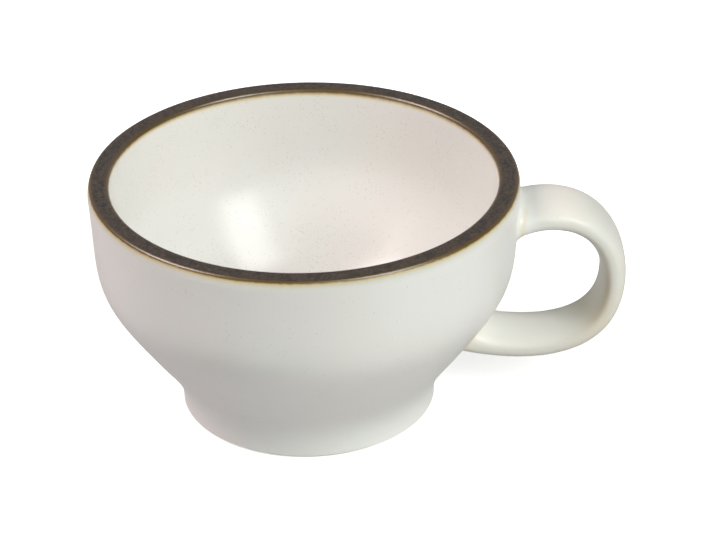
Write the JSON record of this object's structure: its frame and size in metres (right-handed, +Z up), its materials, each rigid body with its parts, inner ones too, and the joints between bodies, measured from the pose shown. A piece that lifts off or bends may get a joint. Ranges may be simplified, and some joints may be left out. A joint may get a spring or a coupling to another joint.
{
  "type": "espresso cup",
  "caption": "Round footed stoneware espresso cup with a loop strap handle, a dark iron band on the lip and a pale satin glaze, for a small hot drink.",
  "frame": {"origin": "centre of the standing ring, on the table plane", "axes": "+Z up along the bowl's axis, +X from that axis out through the handle, +Y to the left of the handle"},
  "size_m": [0.1, 0.08, 0.0467],
  "materials": {
    "stoneware": "matte",
    "slip": "matte",
    "iron_band": "satin",
    "pale_glaze": "satin"
  },
  "bodies": {
    "root": {"bowl": "stoneware", "handle": "stoneware", "upper_slip_joint": "slip", "lower_slip_joint": "slip", "rim_band": "iron_band", "inner_glaze": "pale_glaze", "outer_glaze": "pale_glaze", "handle_glaze": "pale_glaze", "base_glaze": "pale_glaze"}
  },
  "joints": []
}
